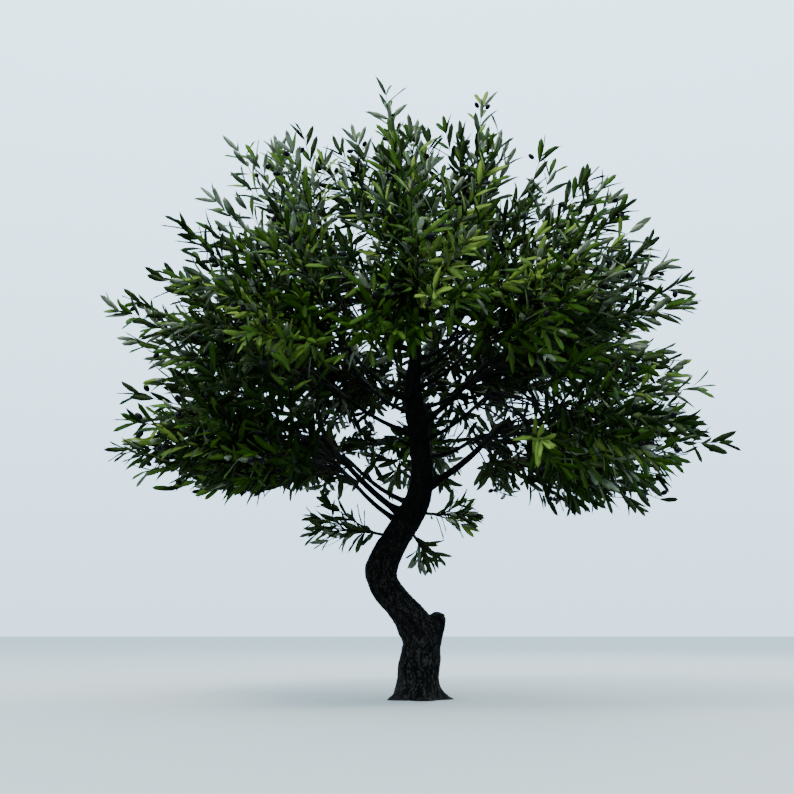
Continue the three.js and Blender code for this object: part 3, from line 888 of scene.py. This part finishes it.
def hangOlives(line, share):
    at, way = (rows[0] for rows in alongLine(line, np.array([stepLengths(line).sum() * share])))
    turn = rng.uniform(0, math.tau)
    apart = (0.0, rng.uniform(*olive["pairTurn"]))
    for extra in apart[: 1 + (rng.random() < olive["pairs"])]:
        out = outFrom(way, turn + extra)
        play = rng.normal(0, olive["play"], 3)
        pointing = unit(out + way * olive["ahead"] - up * olive["droop"] + play)
        size = rng.uniform(*olive["sizePlay"])
        if inOutline(at + pointing * (olive["stalk"] + olive["length"])):
            oliveRows.append((at, pointing, size))


def outOfCrown(tip):
    # too near the crown's outline, or past the start of a clearing
    away = np.linalg.norm(tip - heart)
    furthest = min(domeReach(unit(tip - heart)) - shoot["underDome"], clearingLimits(tip))
    return away > furthest or tip[2] < hemAt(tip) + shoot["overHem"]


def twigLines(mass, isSpray, wanted):
    # the part's own twigs, then those towards the neighbours, then leaders; and where the leaders start
    lines = []
    for index in range(twig["tries"]):
        if len(lines) == wanted:
            break
        end, pointing = twigEnd(mass, index, seeded(mass["seed"] * twig["tries"] + index))
        if index > 0 and not isSpray:
            room = clearingLimits(end) * twig["drawnBack"] / np.linalg.norm(end - heart)
            end = heart + (end - heart) * min(1, room)
        line = twigLine(mass, index, end, pointing)
        if line is not None:
            lines.append(line)
    if not isSpray and mass["axis"][1] > twig["bordersFrom"]:
        ways = twig["borders"][:twig["borderCount"][mass["habit"]]]
        added = [twigLine(mass, i, *borderEnd(mass, *way)) for i, way in enumerate(ways)]
        lines += [line for line in added if line is not None]
    bordersEnd = len(lines)
    added = [twigLine(mass, i, *leader) for i, leader in enumerate(mass.get("leaders", []))]
    lines += [line for line in added if line is not None]
    return lines, bordersEnd


def growMass(mass):
    isSpray = "ball" in mass
    habit = mass["habit"]
    rows = leafRows.setdefault(mass["leaves"], [])
    bare = leaf["bareSpray"] if isSpray else leaf["bareTwig"][habit]
    twigSize, shootSize = leaf["sizes"]["spray" if isSpray else "mass"]
    stems.append((mass["stemFrom"] - mass["stemAlong"] * stem["sunk"], mass["stemAlong"], mass["stemRadius"]))
    wanted = round(mass["reach"] / twig["sprayShare"]) if isSpray else twig["perMass"][habit]
    lines, bordersEnd = twigLines(mass, isSpray, wanted)
    for number, line in enumerate(lines):
        total = stepLengths(line).sum()
        tip = min(twig["leafPastMost"], twig["leafPast"] * leaf["length"] / total)
        wood = evenly(line, twig["steps"], 1 - tip)
        bigTwigs.append(evenly(wood, twig["rings"]))
        tone = toneAt(habit, mass["phase"] + number * evenStep)
        shade = 0 if isSpray else shaded[habit] * rng.uniform(*shadedPlay)
        free = isSpray or number == 0 or number >= bordersEnd
        leafSpray(rows, wood, bare, tone, twigSize, shade, free)
        shoots = 1 if isSpray else shoot["perTwig"][habit] if number < wanted else twig["borderShoots"]
        turn = rng.uniform(0, math.tau)
        for i in range(shoots):
            step = (i + rng.uniform(*shoot["placePlay"])) / shoots
            place = mix(shoot["from"][habit], shoot["to"], step)
            length = np.clip(total * (1 - place) * shoot["lengthShare"], *shoot["length"])
            length *= rng.uniform(*shoot["lengthPlay"])
            if isSpray:
                length *= shoot["onSpray"]
            turn += goldenTurn
            side = shootLine(wood, place, turn, length)
            if not isSpray and outOfCrown(side[-1]):
                continue
            sideShoots.append(evenly(side, shoot["rings"]))
            turnedTo = mass["phase"] + (number + i * shoot["toneStep"]) * evenStep
            # shoots that start in the inner share take the darkest green, painted shade
            sideTone = 0 if place < shade else toneAt(habit, turnedTo)
            leafSpray(rows, side, leaf["bareShoot"], sideTone, shootSize)
            if rng.random() < olive["onShoots"]:
                hangOlives(side, rng.uniform(*olive["shootPlace"]))
        if not isSpray:
            hangOlives(wood, rng.uniform(*olive["twigPlace"]))


for mass in masses + sprays:
    growMass(mass)
print("crown: %d twigs, %d shoots, %d olives" % (len(bigTwigs), len(sideShoots), len(oliveRows)))


def meshFromArrays(name, verts, tris, materialIndex=None):
    mesh = bpy.data.meshes.new(name)
    verts = np.asarray(verts, np.float32) * metre
    tris = np.asarray(tris, np.int32)
    mesh.vertices.add(len(verts))
    mesh.vertices.foreach_set("co", verts.ravel())
    mesh.loops.add(tris.size)
    mesh.loops.foreach_set("vertex_index", tris.ravel())
    mesh.polygons.add(len(tris))
    mesh.polygons.foreach_set("loop_start", np.arange(len(tris), dtype=np.int32) * 3)
    if materialIndex is not None:
        mesh.polygons.foreach_set("material_index", np.asarray(materialIndex, np.int32))
    mesh.polygons.foreach_set("use_smooth", np.ones(len(tris), bool))
    mesh.update(calc_edges=True)
    mesh.validate()
    return addObject(name, mesh)


def repeated(tris, count, perCopy):
    # one shape's triangles for many copies that follow one another
    return (tris[None] + np.arange(count)[:, None, None] * perCopy).reshape(-1, 3)


def tubes(lines, radii, sides):
    # closed tubes on lines with the same number of points, all at once
    lines, radii = np.asarray(lines), np.asarray(radii)
    count, rings = lines.shape[:2]
    along = unit(np.gradient(lines, axis=1))
    side = np.array([squareTo(way)[0] for way in along[:, 0]])
    rows = []
    turns = np.arange(sides) * math.tau / sides
    for ring in range(rings):
        way = along[:, ring]
        side = unit(side - way * (side * way).sum(1, keepdims=True))
        over = np.cross(way, side)
        circle = side[:, None] * np.cos(turns)[:, None] + over[:, None] * np.sin(turns)[:, None]
        rows.append(lines[:, ring, None] + circle * radii[:, ring, None, None])
    verts = np.concatenate([*rows, lines[:, :1], lines[:, -1:]], 1)
    tris = []
    for ring in range(rings - 1):
        for i in range(sides):
            j = (i + 1) % sides
            a, b = ring * sides, (ring + 1) * sides
            tris += [(a + i, a + j, b + j), (a + i, b + j, b + i)]
    root, tip, last = rings * sides, rings * sides + 1, (rings - 1) * sides
    for i in range(sides):
        j = (i + 1) % sides
        tris += [(root, j, i), (tip, last + i, last + j)]
    return verts.reshape(-1, 3), repeated(np.array(tris), count, verts.shape[1])


def joinArrays(parts):
    verts, tris, start = [], [], 0
    for v, t in parts:
        verts.append(v)
        tris.append(t + start)
        start += len(v)
    return np.concatenate(verts), np.concatenate(tris)


def makeTwigs():
    places = [*stem["places"], stem["length"] + stem["sunk"]]
    stemLines = [point + np.outer(places, way) for point, way, _ in stems]
    stemRadii = np.outer([radius for _, _, radius in stems], stem["shares"])
    share = np.linspace(0, 1, twig["rings"]) ** twig["taperPower"]
    radii = mix(twig["rootRadius"], twig["tipRadius"], share)
    sideRadii = mix(shoot["rootRadius"], shoot["tipRadius"], np.linspace(0, 1, shoot["rings"]))
    parts = [
        tubes(stemLines, stemRadii, stem["sides"]),
        tubes(bigTwigs, np.tile(radii, (len(bigTwigs), 1)), twig["sides"]),
        tubes(sideShoots, np.tile(sideRadii, (len(sideShoots), 1)), shoot["sides"]),
    ]
    return meshFromArrays("twigs", *joinArrays(parts))


def stamp(verts, points, along, side, back, sizes):
    # one small shape placed many times
    axes = np.stack([along, side, back], 1)
    return np.einsum("nvk,nkl->nvl", verts * sizes, axes) + points[:, None]


def shapeArrays(bm):
    # vertices, triangles and their materials of a small shape that is placed many times
    bmesh.ops.triangulate(bm, faces=bm.faces)
    bm.verts.index_update()
    verts = np.array([v.co for v in bm.verts])
    tris = np.array([[v.index for v in f.verts] for f in bm.faces])
    materials = np.array([f.material_index for f in bm.faces])
    bm.free()
    return verts, tris, materials


def leafTemplate():
    # a lance-shaped blade from a grid, folded at its midrib and given an underside
    touch = 1e-4  # points nearer than this are one, in shares of the leaf's length
    bm = bmesh.new()
    stations = [(0.0, 0.0), *leaf["outline"], (1.0, 0.0)]
    bmesh.ops.create_grid(bm, x_segments=len(stations) - 1, y_segments=2, size=0.5)
    for v in bm.verts:
        station = round((v.co.x + 0.5) * (len(stations) - 1))
        row = round(v.co.y * 2)
        x, width = stations[station]
        v.co = (x, row * width * 0.5, abs(row) * width * leaf["fold"])
    bmesh.ops.remove_doubles(bm, verts=bm.verts, dist=touch)
    bmesh.ops.recalc_face_normals(bm, faces=bm.faces)
    if sum(f.normal.z for f in bm.faces) < 0:
        bmesh.ops.reverse_faces(bm, faces=bm.faces)
    under = bmesh.ops.duplicate(bm, geom=bm.verts[:] + bm.edges[:] + bm.faces[:])["geom"]
    underFaces = [g for g in under if isinstance(g, bmesh.types.BMFace)]
    bmesh.ops.reverse_faces(bm, faces=underFaces)
    for face in underFaces:
        face.material_index = 1
    for v in [g for g in under if isinstance(g, bmesh.types.BMVert)]:
        if abs(v.co.y) < touch < v.co.x < 1 - touch:
            v.co.z -= leaf["thickness"] / leaf["width"]
    bmesh.ops.remove_doubles(bm, verts=bm.verts, dist=touch)
    return shapeArrays(bm)


limbPoints = np.concatenate([trunkPath] + [bough["path"] for bough in boughs])
boughRadii = [bough["radius"] * np.ones(len(bough["path"])) for bough in boughs]
limbRadii = np.concatenate([trunkRadii] + boughRadii)


def clearOfLimbs(points, alongs, lengths):
    keep = np.ones(len(points), bool)
    for share in leaf["probes"]:
        probe = points + alongs * lengths[:, None] * share
        nearest = nearestOn(probe, limbPoints)
        away = np.linalg.norm(probe - limbPoints[nearest], axis=1)
        keep &= away > limbRadii[nearest] + leaf["limbGap"]
    return keep


def makeLeaves(name, rows):
    verts, tris, isUnder = leafTemplate()
    points, along, back, length, tone, arch = (np.array(column) for column in zip(*rows))
    low = np.array(cadBox[0]) / metre - leaf["overBox"]
    high = np.array(cadBox[1]) / metre + leaf["overBox"]
    tips = points + along * length[:, None]
    keep = ((tips > low) & (tips < high)).all(1) & clearOfLimbs(points, along, length)
    points, along, back, length, tone, arch = (a[keep] for a in (points, along, back, length, tone, arch))
    side = np.cross(back, along)
    width = leaf["width"] * np.clip(length / leaf["length"], *leaf["widthLimits"])
    sizes = np.stack([length, width, width], 1)[:, None, :]
    # every blade twists a little one way or the other, so that none is seen as a line
    ways = np.where(np.arange(len(points)) % 2, 1, -1)
    turns = math.radians(leaf["twist"]) * ways[:, None] * (verts[:, 0] - 0.5)
    local = np.repeat(verts[None], len(points), 0)
    local[..., 1] = verts[:, 1] * np.cos(turns) - verts[:, 2] * np.sin(turns)
    local[..., 2] = verts[:, 1] * np.sin(turns) + verts[:, 2] * np.cos(turns)
    placed = stamp(local, points, along, side, back, sizes)
    placed = placed - back[:, None] * (arch * length)[:, None, None] * (verts[:, 0] ** 2)[None, :, None]
    allTris = repeated(tris, len(points), len(verts))
    # leaves of the darker greens get the underside of painted shade, the others the silver one with painted
    # sheen
    under = tones + (tone >= brightFrom)
    material = np.where(isUnder[None] == 1, under[:, None], tone[:, None]).reshape(-1)
    obj = meshFromArrays(name, placed.reshape(-1, 3), allTris, material)
    print("%s: %d leaves, %d triangles" % (name, len(points), len(allTris)))
    return obj


def oliveTemplate():
    bm = bmesh.new()
    made = bmesh.ops.create_uvsphere(bm, u_segments=8, v_segments=6, radius=0.5)["verts"]
    laid = Matrix.Rotation(math.pi / 2, 4, "Y")
    bmesh.ops.transform(bm, matrix=laid, verts=made)
    bmesh.ops.scale(bm, vec=(olive["length"], olive["width"], olive["width"]), verts=made)
    for v in made:
        swell = olive["fullness"] - olive["taper"] * (v.co.x / olive["length"] + 0.5)
        v.co.y *= swell
        v.co.z *= swell
    middle = olive["stalk"] + olive["length"] * 0.5 - olive["stalkSunk"]
    bmesh.ops.translate(bm, vec=(middle, 0, 0), verts=made)
    known = set(bm.faces)
    stalk = bmesh.ops.create_cone(bm, cap_ends=True, segments=4, depth=olive["stalk"],
                                  radius1=olive["stalkRadius"] * olive["stalkFlare"],
                                  radius2=olive["stalkRadius"])["verts"]
    bmesh.ops.transform(bm, matrix=laid, verts=stalk)
    bmesh.ops.translate(bm, vec=(olive["stalk"] / 2, 0, 0), verts=stalk)
    for f in bm.faces:
        if f not in known:
            f.material_index = 1
    return shapeArrays(bm)


def makeOlives():
    verts, tris, which = oliveTemplate()
    points, along, sizes = (np.array(column) for column in zip(*oliveRows))
    side = np.array([squareTo(way)[0] for way in along])
    back = np.cross(along, side)
    local = np.repeat(verts[None], len(points), 0)
    placed = stamp(local, points, along, side, back, sizes[:, None, None])
    allTris = repeated(tris, len(points), len(verts))
    material = np.tile(which, len(points))
    return meshFromArrays("olives", placed.reshape(-1, 3), allTris, material)


def twigMaterial():
    stops = [(0.35, (0.0016, 0.0014, 0.0011)), (0.7, (0.0070, 0.0062, 0.0045))]
    material, tree, shader = patchyMaterial(
        "twigWood", roughness=0.7, specular=0.05, scale=30.0, detail=4.0, stops=stops)
    bumpNode(tree, shader, patternNode(tree, scale=300.0), strength=0.4, distance=0.001)
    return material


def oliveMaterial():
    stops = [(0.4, (0.0008, 0.0008, 0.001)), (0.75, (0.002, 0.0018, 0.0024))]
    return patchyMaterial(
        "ripeOlive", roughness=0.45, specular=0.06, scale=60.0, detail=2.0, stops=stops)[0]


woodMaterial = twigMaterial()
# greens of the upper side from dark to light, the darkest a painted shade, then the two undersides, a dark
# one of painted shade and a silver one partly painted sheen: dark and light patches, and roughness
leafMaterials = [
    leafMaterial("shadeGreenLeaf", (0.0018, 0.0066, 0.0003), (0.0056, 0.0160, 0.0008), 0.45),
    leafMaterial("deepGreenLeaf", (0.0080, 0.0240, 0.0008), (0.0190, 0.0450, 0.0018), 0.42),
    leafMaterial("midGreenLeaf", (0.027, 0.055, 0.005), (0.044, 0.082, 0.011), 0.42),
    leafMaterial("limeGreenLeaf", (0.070, 0.110, 0.014), (0.105, 0.155, 0.026), 0.45),
    leafMaterial("shadeUnderside", (0.0050, 0.0105, 0.0015), (0.0290, 0.0430, 0.0130), 0.6),
    leafMaterial("silverSheenUnderside", (0.022, 0.038, 0.013), (0.200, 0.220, 0.150), 0.6),
]
twigPiece = makeTwigs()
everyMass = ["foliage_" + mass["name"] for mass in masses + sprays]
finishPiece(twigPiece, "bark", everyMass, woodMaterial)
print("twigs: %d triangles" % len(twigPiece.data.polygons))
for name, rows in leafRows.items():
    dressed = ["foliage_" + mass["name"] for mass in masses + sprays if mass["leaves"] == name]
    finishPiece(makeLeaves(name, rows), "foliage", dressed, *leafMaterials)
olivePiece = makeOlives()
finishPiece(olivePiece, "foliage", everyMass, oliveMaterial(), woodMaterial)
print("olives: %d triangles" % len(olivePiece.data.polygons))


studio = {
    "floorSize": 60,
    "floorGrid": 8,
    "floorTone": (0.30, 0.31, 0.30),
    "skyTone": (0.58, 0.81, 1.0),
    "skyStrength": (2.5, 5.0),  # at the horizon and overhead
    "key": {"at": (-2.5, -2.5, 6.5), "size": 3.0, "power": 700},
    "back": {"at": (2.5, 4.5, 5.5), "size": 4.0, "power": 500},
    "lightTone": (1.0, 0.93, 0.8),
    "lightsAim": (0, 0, 1.3),
}
# the photo's view: focal length and width in pixels, sensor in millimetres, place in metres and upward tilt
view = {"focal": 1011, "pixels": 794, "sensor": 36, "at": (-0.0753, -3.869, 0.2523), "tilt": 12.9}


def makeFloor():
    bm = bmesh.new()
    grid = studio["floorGrid"]
    bmesh.ops.create_grid(bm, x_segments=grid, y_segments=grid, size=studio["floorSize"] / 2)
    mesh = bpy.data.meshes.new("floor")
    bm.to_mesh(mesh)
    bm.free()
    floor = addObject("floor", mesh)
    material, _, shader = newMaterial("paleFloor", roughness=0.9, specular=0.2)
    shader.inputs["Base Color"].default_value = (*studio["floorTone"], 1)
    mesh.materials.append(material)


def makeLight(name, at, size, power):
    light = bpy.data.lights.new(name, "AREA")
    light.shape = "DISK"
    light.size = size
    light.energy = power
    light.color = studio["lightTone"]
    obj = addObject(name, light)
    obj.location = at
    obj.rotation_euler = (Vector(studio["lightsAim"]) - Vector(at)).to_track_quat("-Z", "Y").to_euler()


def makeCamera():
    camera = bpy.data.cameras.new("camera")
    camera.sensor_width = view["sensor"]
    camera.lens = view["focal"] / view["pixels"] * view["sensor"]
    obj = addObject("camera", camera)
    obj.location = view["at"]
    obj.rotation_euler = (math.radians(90 + view["tilt"]), 0, 0)
    bpy.context.scene.camera = obj


def makeSky():
    # brighter overhead than at the horizon
    world = bpy.data.worlds.new("studio")
    world.use_nodes = True
    tree = world.node_tree
    sky = tree.nodes["Background"]
    sky.inputs["Color"].default_value = (*studio["skyTone"], 1)
    look = addNode(tree, "TexCoord", {}).outputs["Generated"]
    rise = addNode(tree, "SeparateXYZ", {"Vector": look}).outputs["Z"]
    horizon, overhead = studio["skyStrength"]
    brighten = addNode(tree, "MapRange", {"Value": rise, "To Min": horizon, "To Max": overhead})
    tree.links.new(brighten.outputs["Result"], sky.inputs["Strength"])
    bpy.context.scene.world = world


makeFloor()
makeLight("keyLight", **studio["key"])
makeLight("backLight", **studio["back"])
makeSky()
makeCamera()
print("studio: floor, two lights, sky and camera")
